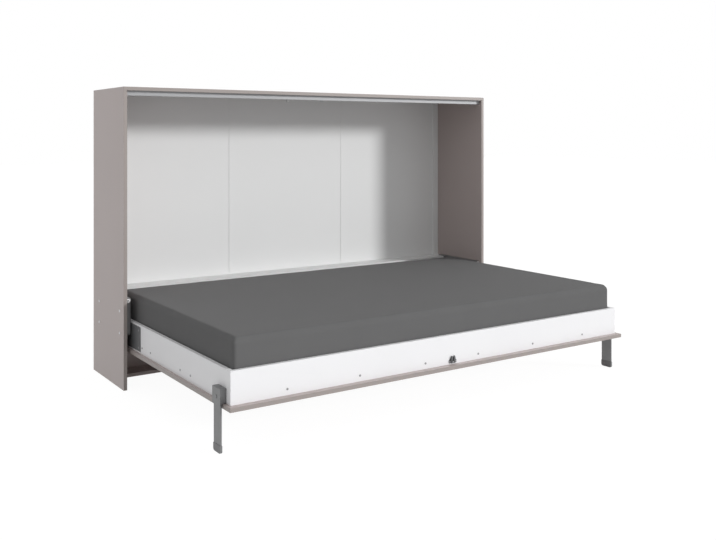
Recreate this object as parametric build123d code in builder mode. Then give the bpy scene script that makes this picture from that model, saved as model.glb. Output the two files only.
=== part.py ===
"""Horizontal wall bed: a shallow cabinet, and a bed that folds down out of it over its long side.

Millimetres, +Z up, floor at z = 0. X runs along the bed, the cabinet stands at +Y and the open bed reaches to -Y.
The origin is on the floor, under the middle of the open bed and cabinet together.
Slices across the bed are given by their distance from the middle plane x = 0, the same on both sides.
"""
import os
from math import atan2, cos, degrees, hypot, sin

from build123d import *

os.makedirs("parts", exist_ok=True)

# Mattress
MATTRESS_LENGTH = 2000
MATTRESS_WIDTH = 1200
MATTRESS_THICKNESS = 180
MATTRESS_GAP = 2
MATTRESS_EDGE = 22

# Boards
BOARD = 16
BACK_SHEET = 3

# Bed frame and base board
BASE_UNDERSIDE = 161
FRAME_HEIGHT = 122
FRONT_OVERHANG = 27
FRAME_BEHIND_PIVOT = 174
BATTEN_WIDTH = 20
BATTEN_HEIGHT = 36
BEAM_WIDTH = 30
SLAT_COUNT = 16
SLAT_WIDTH = 60
SLAT_THICKNESS = 16
SLAT_END_GAP = 4
STRAP_WIDTH = 20
STRAP_THICKNESS = 1
STRAP_FROM_END = 200

# Fold
PIVOT_RISE = 77
FRONT_RECESS = 2
TOP_CLEARANCE = 4
STOP_CLEARANCE = 2
SWING_CLEARANCE = 8

# Cabinet
CABINET_DEPTH = 430
BOTTOM_SETBACK = 200
SHELF_TOP = 400
BACK_JOINT_X = 349
STRIP_FLANGE = 1
STRIP_WIDTH = 12
STRIP_WEB = 1.2
GROOVE_DEPTH = 8
GROOVE_CLEARANCE = 0.3
BATTEN_BREADTH = 32
BATTEN_DEPTH = 13
REAR_RAIL_HEIGHT = 100
STOP_RAIL_DROP = 22
STOP_RAIL_FOOT = 15
STOP_RAIL_SHEET = 2

# Hinge housings
HOUSING_LENGTH = 350
HOUSING_HEIGHT = 168
HOUSING_CORNER = 12
HOUSING_BELOW_PIVOT = 2
LOBE_RADIUS = 33
PLATE_SHEET = 3
COVER_SHEET = 1.5
COVER_CLEARANCE = 2
COVER_ROUND = 4
HOUSING_BOLT_FROM_FRONT = (32, 320)
HOUSING_BOLT_ABOVE_PIVOT = (8, 107)
HOUSING_BOLT_RADIUS = 3
BOLT_HEAD_RADIUS = 6
BOLT_HEAD_HEIGHT = 2.5

# Pivots and springs
SHAFT_RADIUS = 10
RUNNING_FIT = 0.05
BUSH_WALL = 3
BUSH_FLANGE = 16
BUSH_FLANGE_SHEET = 1.3
BED_PLATE_AHEAD = 168
BED_PLATE_BEHIND = 60
BED_PLATE_ABOVE = 53
BED_PLATE_CORNER = 4
LEVER_THICKNESS = 4.5
LEVER_HALF_WIDTH = 10
LEVER_TO_COVER = 2.5
LEVER_TO_FLANGE = 0.3
LEVER_PIN_ABOVE = 75
LEVER_PIN_RADIUS = 4
SPRING_RADIUS = 6
SPRING_WIRE = 1
SPRING_TO_LEVER = 0.4
SPRING_TO_PLATE = 1
SPRING_SPREAD = 17
SPRING_SHANK = 14
STUD_RADIUS = 3
HOOK_RING_RADIUS = 4.4
HOOK_BAR_SHEET = 2.5
ANCHOR_FROM_REAR = 19
ANCHOR_ABOVE_PIVOT = 102
ANCHOR_NUT_UP = 25
ROD_RADIUS = 4
ROD_ABOVE_PIVOT = 154
ROD_BUSH_RADIUS = 9.5
ROD_SETBACK = 4
ROD_SOCKET_RADIUS = 2.9
ROD_SOCKET_DEPTH = 6

# Legs
LEG_WIDTH = 57
LEG_THICKNESS = 5
LEG_BEHIND_FRAME_FRONT = 65
LEG_PIN_RADIUS = 4
LEG_PIN_SHOULDER = 7
BRACKET_WIDTH = 66
BRACKET_SHEET = 3
BRACKET_OUTER_SHEET = 2
BRACKET_TOP_ABOVE_BASE = 55
BRACKET_SKIRT = 7
LEG_PLAY = 2
LEG_TO_PANEL = 4
SHOE_HEIGHT = 28
SHOE_WALL = 1.5
SHOE_SOLE = 3
SHOE_CORNER = 8
SHOE_TO_BASE = 1

# Catch on the front board and its tongue under the top panel
CATCH_WIDTH = 40
CATCH_HEIGHT = 21
CATCH_SHEET = 1.6
CATCH_ABOVE_BASE = 5
JAW_SPREAD = 7.3
JAW_WIDTH = 7
JAW_DEPTH = 5
JAW_TIP = 23
JAW_TAIL = 3.5
JAW_PIN_RADIUS = 1.6
JAW_PIN_UP = 7
NOSE_REACH = 1.5
NOSE_UP = 15
TONGUE_SHEET = 2.4
TONGUE_HALF_WIDTH = 9
TONGUE_HEAD_HALF = 3.4
TONGUE_FOOT = 36

# Small parts
DOWEL_RADIUS = 4
DOWEL_LENGTH = 30
DOWEL_IN_FACE = 12
CAM_RADIUS = 7.5
CAM_DEPTH = 12.5
CAM_FROM_END = 34
CAM_BOLT_RADIUS = 3.5
CAM_BOLT_IN_FACE = 11
GLUE_FIT = 0.05
SCREW_RADIUS = 1.9
SCREW_HEAD_RADIUS = 4.2
SCREW_HEAD_HEIGHT = 1.4
LONG_SCREW = 30
SHORT_SCREW = 13
WALL_HOLE_RADIUS = 3
WALL_HOLE_BELOW_TOP = 10.5
WALL_CAP_RADIUS = 8
WALL_CAP_DEPTH = 5
WALL_BRACKET_SHEET = 2
WALL_BRACKET_HALF = 9
WALL_BRACKET_LEG = 20

# Between the bed's side and the side panel: the hinge's layers fill the gap, and the leg fits in it
HINGE_GAP = (
    PLATE_SHEET + COVER_CLEARANCE + COVER_SHEET + BUSH_FLANGE_SHEET + LEVER_TO_FLANGE + LEVER_THICKNESS
    + SPRING_TO_LEVER + 2 * SPRING_RADIUS + SPRING_TO_PLATE + PLATE_SHEET
)
BRACKET_REACH = HINGE_GAP - LEG_TO_PANEL
SIDE_OVERHANG = BRACKET_REACH - BRACKET_OUTER_SHEET - LEG_PLAY - LEG_THICKNESS - SHOE_WALL - SHOE_TO_BASE

# Along the bed, as distances from the middle plane
FRAME_HALF = MATTRESS_LENGTH / 2 + MATTRESS_GAP + BOARD
FRAME_INNER_HALF = FRAME_HALF - BOARD
BASE_HALF = FRAME_HALF + SIDE_OVERHANG
INNER_HALF = FRAME_HALF + HINGE_GAP
CABINET_HALF = INNER_HALF + BOARD

# From back to front
FRAME_WIDTH = MATTRESS_WIDTH + 2 * (MATTRESS_GAP + BOARD)
PIVOT_SETBACK = PIVOT_RISE + FRONT_RECESS
BED_REACH = FRAME_WIDTH - FRAME_BEHIND_PIVOT + FRONT_OVERHANG - PIVOT_SETBACK
FRONT = (BED_REACH - CABINET_DEPTH) / 2
REAR = FRONT + CABINET_DEPTH
PIVOT_Y = FRONT + PIVOT_SETBACK
FRAME_BACK = PIVOT_Y + FRAME_BEHIND_PIVOT
FRAME_FRONT = FRAME_BACK - FRAME_WIDTH
BASE_FRONT = FRAME_FRONT - FRONT_OVERHANG
STOP_FACE = FRONT + FRONT_RECESS + BOARD + STOP_CLEARANCE
RAIL_FACE = REAR - BOARD
BACK_SHEET_REAR = RAIL_FACE - STRIP_FLANGE
BACK_SHEET_FACE = BACK_SHEET_REAR - BACK_SHEET
BACK_FACE = BACK_SHEET_FACE - STRIP_FLANGE

# Heights
BASE_TOP = BASE_UNDERSIDE + BOARD
FRAME_TOP = BASE_TOP + FRAME_HEIGHT
SLAT_UNDERSIDE = BASE_TOP + BATTEN_HEIGHT
MATTRESS_UNDERSIDE = SLAT_UNDERSIDE + SLAT_THICKNESS + STRAP_THICKNESS
MATTRESS_TOP = MATTRESS_UNDERSIDE + MATTRESS_THICKNESS
PIVOT_Z = BASE_UNDERSIDE + PIVOT_RISE
TOP_UNDERSIDE = PIVOT_Z + PIVOT_Y - BASE_FRONT + TOP_CLEARANCE
CABINET_TOP = TOP_UNDERSIDE + BOARD
SHELF_UNDERSIDE = SHELF_TOP - BOARD

# The mattress corner that swings furthest back sets the place of the crossboard
corner_back = FRAME_BACK - BOARD - MATTRESS_GAP - MATTRESS_EDGE - PIVOT_Y
corner_up = MATTRESS_TOP - MATTRESS_EDGE - PIVOT_Z
CROSSBOARD_FACE = PIVOT_Y + hypot(corner_back, corner_up) + MATTRESS_EDGE + SWING_CLEARANCE

# Layers of the hinge, from the frame's side outwards
BED_PLATE_FACE = FRAME_HALF + PLATE_SHEET
COVER_FACE = BED_PLATE_FACE + COVER_CLEARANCE
COVER_INSIDE = COVER_FACE + COVER_SHEET
BASE_PLATE_FACE = INNER_HALF - PLATE_SHEET
LEVER_FACE = COVER_INSIDE + BUSH_FLANGE_SHEET + LEVER_TO_FLANGE
LEVER_END = LEVER_FACE + LEVER_THICKNESS
SPRING_AXIS = LEVER_END + SPRING_TO_LEVER + SPRING_RADIUS
HOOK_BAR_FACE = LEVER_END + 0.6
HOOK_BAR_END = HOOK_BAR_FACE + HOOK_BAR_SHEET
STUD_END = SPRING_AXIS + 4
HOUSING_FRONT = STOP_FACE
HOUSING_REAR = HOUSING_FRONT + HOUSING_LENGTH
HOUSING_BOTTOM = PIVOT_Z - HOUSING_BELOW_PIVOT
HOUSING_TOP = HOUSING_BOTTOM + HOUSING_HEIGHT
LEVER_PIN_AHEAD = PIVOT_Y - HOUSING_FRONT - COVER_SHEET - LEVER_HALF_WIDTH - LEVER_TO_COVER
NOTCH_HALF = COVER_FACE - 2

SIDES = {"left": -1, "right": 1}


def block(low, high, mode=Mode.ADD):
    """A box between two opposite corners."""
    with Locations(tuple((a + b) / 2 for a, b in zip(low, high))):
        Box(*(b - a for a, b in zip(low, high)), mode=mode)


def rod(start, direction, radius, length, mode=Mode.ADD):
    """A round bar, or a round hole, from a point along a direction."""
    with BuildSketch(Plane(origin=start, z_dir=direction)) as section:
        Circle(radius)
    extrude(section.sketch, amount=length, mode=mode)


def along(place, direction, distance):
    """The point at a distance from a place along a direction."""
    return tuple(p + distance * d for p, d in zip(place, direction))


def slice_plane(side, near, far):
    """Plane of y and z at the low end of a slice that lies between near and far from the middle."""
    return Plane(origin=(min(side * near, side * far), 0, 0), x_dir=(0, 1, 0), z_dir=(1, 0, 0))


def cross_rod(side, near, far, y, z, radius, mode=Mode.ADD):
    """A round bar, or a round hole, across the bed between near and far from the middle."""
    rod((side * near, y, z), (side, 0, 0), radius, far - near, mode)


def cut_screws(places):
    """Pilot holes for screws, from each screw's place inwards."""
    for place, out, length in places:
        rod(along(place, out, 1), tuple(-d for d in out), SCREW_RADIUS, length + 1, Mode.SUBTRACT)


def on_side(side, places):
    """Those of some joints or screws that are on one side of the bed."""
    return [place for place in places if place[0][0] * side > 0]


def finish(builder, name):
    """Labels a finished sub-part and writes its file."""
    builder.part.label = name
    export_step(builder.part, f"parts/{name}.step")


# Panel joints: the place on the joint's plane, the way into the face board, and the way to the cam's face
def end_joints(ys_and_zs, cam_way):
    """Joints between the end of a board and both side panels."""
    return [((side * INNER_HALF, y, z), (side, 0, 0), cam_way) for side in SIDES.values() for y, z in ys_and_zs]


crossboard_middle = CROSSBOARD_FACE + BOARD / 2
shelf_middle = (max(CROSSBOARD_FACE, HOUSING_REAR) + BACK_FACE) / 2
side_middle = CABINET_HALF - BOARD / 2
TOP_DOWELS = [
    ((side * side_middle, FRONT + y, TOP_UNDERSIDE), (0, 0, 1), None)
    for side in SIDES.values()
    for y in (50, CABINET_DEPTH / 2, CABINET_DEPTH - 60)
]
TOP_CAMS = [
    ((side * side_middle, FRONT + y, TOP_UNDERSIDE), (0, 0, 1), (-side, 0, 0))
    for side in SIDES.values()
    for y in (110, CABINET_DEPTH - 110)
]
BOTTOM_DOWELS = end_joints([(FRONT + BOTTOM_SETBACK + 30, BOARD / 2), (BACK_FACE - 30, BOARD / 2)], None)
BOTTOM_CAMS = end_joints([(FRONT + BOTTOM_SETBACK + 80, BOARD / 2)], (0, 0, -1))
CROSSBOARD_DOWELS = end_joints([(crossboard_middle, 60), (crossboard_middle, PIVOT_Z - 48)], None)
CROSSBOARD_CAMS = end_joints([(crossboard_middle, 120)], (0, 1, 0))
SHELF_DOWELS = end_joints([(shelf_middle, SHELF_TOP - BOARD / 2)], None)
DOWELS = TOP_DOWELS + BOTTOM_DOWELS + CROSSBOARD_DOWELS + SHELF_DOWELS
CAMS = TOP_CAMS + BOTTOM_CAMS + CROSSBOARD_CAMS


def cam_start(joint):
    """The point on the board's face where a cam lock goes in."""
    place, out, cam_way = joint
    return along(along(place, out, -CAM_FROM_END), cam_way, BOARD / 2)


def cut_dowels(joints):
    """Blind holes for dowels, through the joint's plane."""
    for place, out, _ in joints:
        start = along(place, out, DOWEL_IN_FACE - DOWEL_LENGTH - 0.5)
        rod(start, out, DOWEL_RADIUS + GLUE_FIT, DOWEL_LENGTH + 1, Mode.SUBTRACT)


def cut_cams(joints):
    """Holes for cam bolts, and pockets for the cam locks that pull on them."""
    for joint in joints:
        place, out, cam_way = joint
        start = along(place, out, -CAM_FROM_END)
        rod(start, out, CAM_BOLT_RADIUS + GLUE_FIT, CAM_FROM_END + CAM_BOLT_IN_FACE + 0.5, Mode.SUBTRACT)
        inward = tuple(-d for d in cam_way)
        rod(cam_start(joint), inward, CAM_RADIUS + GLUE_FIT, CAM_DEPTH + 0.5, Mode.SUBTRACT)


# Catch on the open bed, and where its points are once the bed has turned up by 90 degrees
CATCH_LOW = BASE_TOP + CATCH_ABOVE_BASE
JAW_PIVOT_Z = CATCH_LOW + JAW_PIN_UP
JAW_FACE = FRAME_FRONT - CATCH_SHEET - 0.3
JAW_END = JAW_FACE - JAW_DEPTH


def closed_y(z):
    """The closed bed's y for a height on the open bed."""
    return PIVOT_Y + z - PIVOT_Z


def closed_z(y):
    """The closed bed's height for a y on the open bed."""
    return PIVOT_Z + PIVOT_Y - y


TONGUE_Z = closed_z((JAW_FACE + JAW_END) / 2) - TONGUE_SHEET / 2
nose_y = closed_y(JAW_PIVOT_Z + NOSE_UP)
tongue_back = closed_y(JAW_PIVOT_Z + JAW_TIP) + 6
TONGUE_SCREWS = [
    ((x, tongue_back + TONGUE_FOOT - 8, TOP_UNDERSIDE - TONGUE_SHEET), (0, 0, -1), SHORT_SCREW) for x in (-5, 5)
]

# Screws of the cabinet
bracket_face = BACK_SHEET_FACE - WALL_BRACKET_SHEET
WALL_BRACKET_SCREW = (
    (0, BACK_SHEET_FACE - 1.5 * WALL_BRACKET_LEG, TOP_UNDERSIDE - WALL_BRACKET_SHEET), (0, 0, -1), SHORT_SCREW
)
RAIL_SCREWS = [
    ((x, STOP_FACE + 9, TOP_UNDERSIDE - STOP_RAIL_SHEET), (0, 0, -1), SHORT_SCREW)
    for x in (-INNER_HALF + 60, -0.35 * INNER_HALF, 0.35 * INNER_HALF, INNER_HALF - 60)
]
BATTEN_SCREWS = [
    ((side * (INNER_HALF - BATTEN_BREADTH / 2), BACK_SHEET_REAR, z), (0, 1, 0), SHORT_SCREW)
    for side in SIDES.values()
    for z in (SHELF_TOP + 60, (SHELF_TOP + TOP_UNDERSIDE) / 2, TOP_UNDERSIDE - REAR_RAIL_HEIGHT - 30)
]


# Cabinet panels
for name, side in SIDES.items():
    with BuildPart() as side_panel:
        low, high = sorted((side * INNER_HALF, side * CABINET_HALF))
        block((low, FRONT, 0), (high, REAR, TOP_UNDERSIDE))
        groove = sorted((side * INNER_HALF, side * (INNER_HALF + GROOVE_DEPTH)))
        block(
            (groove[0], BACK_SHEET_FACE, 0),
            (groove[1], BACK_SHEET_REAR + GROOVE_CLEARANCE, TOP_UNDERSIDE),
            Mode.SUBTRACT,
        )
        cut_dowels(on_side(side, DOWELS))
        cut_cams(on_side(side, CAMS))
        for y in HOUSING_BOLT_FROM_FRONT:
            for z in HOUSING_BOLT_ABOVE_PIVOT:
                cross_rod(
                    side, INNER_HALF, CABINET_HALF, HOUSING_FRONT + y, PIVOT_Z + z, HOUSING_BOLT_RADIUS, Mode.SUBTRACT
                )
    finish(side_panel, f"{name}_side_panel")

with BuildPart() as top_panel:
    block((-CABINET_HALF, FRONT, TOP_UNDERSIDE), (CABINET_HALF, REAR, CABINET_TOP))
    block(
        (-INNER_HALF - GROOVE_DEPTH, BACK_SHEET_FACE, TOP_UNDERSIDE),
        (INNER_HALF + GROOVE_DEPTH, BACK_SHEET_REAR + GROOVE_CLEARANCE, TOP_UNDERSIDE + GROOVE_DEPTH),
        Mode.SUBTRACT,
    )
    cut_dowels(TOP_DOWELS)
    cut_cams(TOP_CAMS)
    cut_screws([WALL_BRACKET_SCREW] + RAIL_SCREWS + TONGUE_SCREWS)
finish(top_panel, "top_panel")

with BuildPart() as bottom_panel:
    block((-INNER_HALF, FRONT + BOTTOM_SETBACK, 0), (INNER_HALF, BACK_FACE, BOARD))
    cut_dowels(BOTTOM_DOWELS)
    cut_cams(BOTTOM_CAMS)
finish(bottom_panel, "bottom_panel")

with BuildPart() as rear_crossboard:
    crossboard_back = CROSSBOARD_FACE + BOARD
    block((-INNER_HALF, CROSSBOARD_FACE, BOARD), (INNER_HALF, crossboard_back, SHELF_UNDERSIDE))
    for side in SIDES.values():
        low, high = sorted((side * NOTCH_HALF, side * INNER_HALF))
        block(
            (low, CROSSBOARD_FACE, HOUSING_BOTTOM - 2), (high, crossboard_back, SHELF_UNDERSIDE), Mode.SUBTRACT
        )
    cut_dowels(CROSSBOARD_DOWELS)
    cut_cams(CROSSBOARD_CAMS)
finish(rear_crossboard, "rear_crossboard")

with BuildPart() as rear_shelf:
    block((-INNER_HALF, CROSSBOARD_FACE, SHELF_UNDERSIDE), (INNER_HALF, BACK_FACE, SHELF_TOP))
    for side in SIDES.values():
        low, high = sorted((side * NOTCH_HALF, side * INNER_HALF))
        block((low, CROSSBOARD_FACE, SHELF_UNDERSIDE), (high, HOUSING_REAR + 2, SHELF_TOP), Mode.SUBTRACT)
    cut_dowels(SHELF_DOWELS)
finish(rear_shelf, "rear_shelf")

# Back: three sheets, the strips that join them, the corner battens and the rail that holds the wall screw
WALL_HOLE = (0, RAIL_FACE, TOP_UNDERSIDE - WALL_HOLE_BELOW_TOP)
back_edge = INNER_HALF + GROOVE_DEPTH - 1
back_low, back_high = 2, TOP_UNDERSIDE + GROOVE_DEPTH - 1
web_half = STRIP_WEB / 2
back_spans = {
    "left": (-back_edge, -BACK_JOINT_X - web_half),
    "middle": (-BACK_JOINT_X + web_half, BACK_JOINT_X - web_half),
    "right": (BACK_JOINT_X + web_half, back_edge),
}
for name, (low, high) in back_spans.items():
    with BuildPart() as back_panel:
        block((low, BACK_SHEET_FACE, back_low), (high, BACK_SHEET_REAR, back_high))
        if low < 0 < high:
            start = (0, BACK_SHEET_FACE, WALL_HOLE[2])
            rod(start, (0, 1, 0), WALL_HOLE_RADIUS + 0.5, BACK_SHEET, Mode.SUBTRACT)
        else:
            cut_screws(on_side(low + high, BATTEN_SCREWS))
    finish(back_panel, f"back_panel_{name}")

with BuildPart() as back_joint_strips:
    for x in (-BACK_JOINT_X, BACK_JOINT_X):
        half = STRIP_WIDTH / 2
        block((x - half, BACK_FACE, BOARD), (x + half, BACK_SHEET_FACE, TOP_UNDERSIDE))
        block((x - web_half, BACK_SHEET_FACE, BOARD), (x + web_half, BACK_SHEET_REAR, TOP_UNDERSIDE))
        block((x - half, BACK_SHEET_REAR, BOARD), (x + half, RAIL_FACE, TOP_UNDERSIDE))
finish(back_joint_strips, "back_joint_strips")

with BuildPart() as corner_battens:
    for side in SIDES.values():
        low, high = sorted((side * (INNER_HALF - BATTEN_BREADTH), side * INNER_HALF))
        block((low, BACK_SHEET_FACE - BATTEN_DEPTH, SHELF_TOP), (high, BACK_SHEET_FACE, TOP_UNDERSIDE))
    cut_screws(BATTEN_SCREWS)
finish(corner_battens, "corner_battens")

with BuildPart() as top_rear_rail:
    block((-INNER_HALF, RAIL_FACE, TOP_UNDERSIDE - REAR_RAIL_HEIGHT), (INNER_HALF, REAR, TOP_UNDERSIDE))
    rod(WALL_HOLE, (0, 1, 0), WALL_HOLE_RADIUS, BOARD, Mode.SUBTRACT)
finish(top_rear_rail, "top_rear_rail")

with BuildPart() as wall_bracket:
    half = WALL_BRACKET_HALF
    block((-half, bracket_face, TOP_UNDERSIDE - WALL_BRACKET_LEG), (half, BACK_SHEET_FACE, TOP_UNDERSIDE))
    block(
        (-half, BACK_SHEET_FACE - 2 * WALL_BRACKET_LEG, TOP_UNDERSIDE - WALL_BRACKET_SHEET),
        (half, BACK_SHEET_FACE, TOP_UNDERSIDE),
    )
    rod((0, bracket_face, WALL_HOLE[2]), (0, 1, 0), WALL_HOLE_RADIUS - 0.25, WALL_BRACKET_SHEET, Mode.SUBTRACT)
    cut_screws([WALL_BRACKET_SCREW])
finish(wall_bracket, "wall_bracket")

with BuildPart() as wall_bracket_cap:
    rod((0, bracket_face, WALL_HOLE[2]), (0, -1, 0), WALL_CAP_RADIUS, WALL_CAP_DEPTH)
    fillet(wall_bracket_cap.edges().sort_by(Axis.Y)[0], 2)
    rod((0, bracket_face, WALL_HOLE[2]), (0, -1, 0), WALL_CAP_RADIUS - 1.5, WALL_CAP_DEPTH - 1.5, Mode.SUBTRACT)
finish(wall_bracket_cap, "wall_bracket_cap")

# Stop rail: an angle under the front of the top panel, which the closed front meets
with BuildPart() as stop_rail:
    block(
        (-INNER_HALF, STOP_FACE, TOP_UNDERSIDE - STOP_RAIL_DROP),
        (INNER_HALF, STOP_FACE + STOP_RAIL_SHEET, TOP_UNDERSIDE),
    )
    block(
        (-INNER_HALF, STOP_FACE, TOP_UNDERSIDE - STOP_RAIL_SHEET),
        (INNER_HALF, STOP_FACE + STOP_RAIL_FOOT, TOP_UNDERSIDE),
    )
    cut_screws(RAIL_SCREWS)
finish(stop_rail, "stop_rail")

# Tongue: a spear bent from one strip, which the catch's jaws close on
with BuildPart() as catch_tongue:
    with BuildSketch(Plane.XY.offset(TONGUE_Z)):
        neck = JAW_SPREAD - JAW_WIDTH / 2 - NOSE_REACH - 0.5
        head = TONGUE_HEAD_HALF
        tip_y = closed_y(JAW_PIVOT_Z) + 2
        outline = [
            (1, tip_y), (head, nose_y - 7), (head, nose_y - 4), (neck, nose_y - 3), (neck, nose_y + 5),
            (TONGUE_HALF_WIDTH, tongue_back), (TONGUE_HALF_WIDTH, tongue_back + TONGUE_SHEET),
        ]
        with BuildLine():
            Polyline(*outline, *((-x, y) for x, y in reversed(outline)), close=True)
        make_face()
    extrude(amount=TONGUE_SHEET)
    block(
        (-TONGUE_HALF_WIDTH, tongue_back, TONGUE_Z),
        (TONGUE_HALF_WIDTH, tongue_back + TONGUE_SHEET, TOP_UNDERSIDE),
    )
    block(
        (-TONGUE_HALF_WIDTH, tongue_back, TOP_UNDERSIDE - TONGUE_SHEET),
        (TONGUE_HALF_WIDTH, tongue_back + TONGUE_FOOT, TOP_UNDERSIDE),
    )
    cut_screws(TONGUE_SCREWS)
finish(catch_tongue, "catch_tongue")

# Dowels, cam bolts and cam locks of the panel joints
with BuildPart() as panel_dowels:
    for place, out, _ in DOWELS:
        rod(along(place, out, DOWEL_IN_FACE - DOWEL_LENGTH), out, DOWEL_RADIUS, DOWEL_LENGTH)
finish(panel_dowels, "panel_dowels")

with BuildPart() as cam_bolts:
    for place, out, _ in CAMS:
        reach = CAM_FROM_END - CAM_RADIUS - 0.3
        rod(along(place, out, -reach), out, CAM_BOLT_RADIUS, reach + CAM_BOLT_IN_FACE)
finish(cam_bolts, "cam_bolts")

with BuildPart() as cam_locks:
    for joint in CAMS:
        inward = tuple(-d for d in joint[2])
        rod(cam_start(joint), inward, CAM_RADIUS, CAM_DEPTH)
        with BuildSketch(Plane(origin=cam_start(joint), x_dir=joint[1], z_dir=inward)):
            Rectangle(2 * CAM_RADIUS * 0.6, 1.6)
        extrude(amount=1.5, mode=Mode.SUBTRACT)
finish(cam_locks, "cam_locks")


# Hinge housings on the side panels
def housing_outline(shrink=0.0):
    """The housing's outline, a rounded plate with a lobe round the pivot, drawn in by shrink."""
    with Locations(((HOUSING_FRONT + HOUSING_REAR) / 2, (HOUSING_BOTTOM + HOUSING_TOP) / 2)):
        RectangleRounded(HOUSING_LENGTH - 2 * shrink, HOUSING_HEIGHT - 2 * shrink, HOUSING_CORNER - shrink)
    with Locations((PIVOT_Y, PIVOT_Z)):
        Circle(LOBE_RADIUS - shrink)


BUSH_OUTER = SHAFT_RADIUS + BUSH_WALL
lever_pin = (PIVOT_Y - LEVER_PIN_AHEAD, PIVOT_Z + LEVER_PIN_ABOVE)
anchor = (HOUSING_REAR - ANCHOR_FROM_REAR, PIVOT_Z + ANCHOR_ABOVE_PIVOT)
spring_angle = atan2(anchor[1] - lever_pin[1], anchor[0] - lever_pin[0])
spring_way = (cos(spring_angle), sin(spring_angle))
spring_across = (-spring_way[1], spring_way[0])
rod_z = PIVOT_Z + ROD_ABOVE_PIVOT
rod_middle = (HOOK_BAR_FACE + STUD_END) / 2


def stud_places(middle):
    """Both studs' places, above and below a hook bar's middle."""
    return [
        (middle[0] + s * SPRING_SPREAD * spring_across[0], middle[1] + s * SPRING_SPREAD * spring_across[1])
        for s in (-1, 1)
    ]


def hook_bar(side, middle):
    """A flat bar across the spring line with a stud for each spring, in the builder that is open."""
    with BuildSketch(slice_plane(side, HOOK_BAR_FACE, HOOK_BAR_END)) as bar:
        with Locations(middle):
            SlotOverall(2 * SPRING_SPREAD + 16, 16, rotation=90 + degrees(spring_angle))
    extrude(bar.sketch, amount=HOOK_BAR_SHEET)
    for y, z in stud_places(middle):
        cross_rod(side, HOOK_BAR_END, STUD_END, y, z, STUD_RADIUS)


for name, side in SIDES.items():
    with BuildPart() as hinge_base:
        with BuildSketch(slice_plane(side, BASE_PLATE_FACE, INNER_HALF)):
            housing_outline()
        extrude(amount=PLATE_SHEET)
        cross_rod(side, BASE_PLATE_FACE, INNER_HALF, PIVOT_Y, PIVOT_Z, BUSH_OUTER, Mode.SUBTRACT)
        for y in HOUSING_BOLT_FROM_FRONT:
            for z in HOUSING_BOLT_ABOVE_PIVOT:
                cross_rod(
                    side, BASE_PLATE_FACE, INNER_HALF, HOUSING_FRONT + y, PIVOT_Z + z, HOUSING_BOLT_RADIUS, Mode.SUBTRACT
                )
    finish(hinge_base, f"{name}_hinge_base")

    with BuildPart() as hollow:
        with BuildSketch(slice_plane(side, COVER_INSIDE, BASE_PLATE_FACE)):
            housing_outline(COVER_SHEET)
        extrude(amount=BASE_PLATE_FACE - COVER_INSIDE)
        fillet(hollow.faces().sort_by(Axis.X)[0 if side > 0 else -1].edges(), COVER_ROUND - COVER_SHEET)
    with BuildPart() as hinge_cover:
        with BuildSketch(slice_plane(side, COVER_FACE, BASE_PLATE_FACE)):
            housing_outline()
        extrude(amount=BASE_PLATE_FACE - COVER_FACE)
        fillet(hinge_cover.faces().sort_by(Axis.X)[0 if side > 0 else -1].edges(), COVER_ROUND)
        add(hollow.part, mode=Mode.SUBTRACT)
        cross_rod(side, COVER_FACE, COVER_INSIDE, PIVOT_Y, PIVOT_Z, BUSH_OUTER, Mode.SUBTRACT)
        rod(
            (side * rod_middle, HOUSING_FRONT, rod_z), (0, 1, 0), ROD_BUSH_RADIUS - 2, HOUSING_CORNER,
            Mode.SUBTRACT,
        )
    finish(hinge_cover, f"{name}_hinge_cover")

    with BuildPart() as spring_pack:
        for (y0, z0), (y1, z1) in zip(stud_places(lever_pin), stud_places(anchor)):
            way = (0, *spring_way)
            length = hypot(y1 - y0, z1 - z0)
            first, last = (side * SPRING_AXIS, y0, z0), (side * SPRING_AXIS, y1, z1)
            rod(along(first, way, SPRING_SHANK), way, SPRING_RADIUS, length - 2 * SPRING_SHANK)
            for eye, inward in ((first, 1), (last, -1)):
                ring_side = along(eye, (1, 0, 0), -SPRING_WIRE)
                with BuildSketch(Plane(origin=ring_side, x_dir=(0, 1, 0), z_dir=(1, 0, 0))):
                    Circle(HOOK_RING_RADIUS + SPRING_WIRE)
                    Circle(HOOK_RING_RADIUS - SPRING_WIRE, mode=Mode.SUBTRACT)
                extrude(amount=2 * SPRING_WIRE)
                inward_way = tuple(inward * w for w in way)
                rod(along(eye, inward_way, HOOK_RING_RADIUS), inward_way, 0.9 * SPRING_WIRE, SPRING_SHANK)
    finish(spring_pack, f"{name}_spring_pack")

    with BuildPart() as spring_yoke:
        hook_bar(side, lever_pin)
        cross_rod(side, HOOK_BAR_FACE, HOOK_BAR_END, *lever_pin, LEVER_PIN_RADIUS + RUNNING_FIT, Mode.SUBTRACT)
    finish(spring_yoke, f"{name}_spring_yoke")

with BuildPart() as spring_anchors:
    for side in SIDES.values():
        hook_bar(side, anchor)
        nut_low, nut_high = sorted((side * HOOK_BAR_FACE, side * STUD_END))
        block((nut_low, anchor[0] - 8, anchor[1] + ANCHOR_NUT_UP), (nut_high, anchor[0] + 8, rod_z + 8))
        rod((side * rod_middle, anchor[0] - 8, rod_z), (0, 1, 0), ROD_RADIUS, 16, Mode.SUBTRACT)
        lug_low, lug_high = sorted((side * HOOK_BAR_FACE, side * HOOK_BAR_END))
        block((lug_low, anchor[0] - 8, anchor[1] + 10), (lug_high, anchor[0] + 8, anchor[1] + ANCHOR_NUT_UP))
finish(spring_anchors, "spring_anchors")

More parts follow.
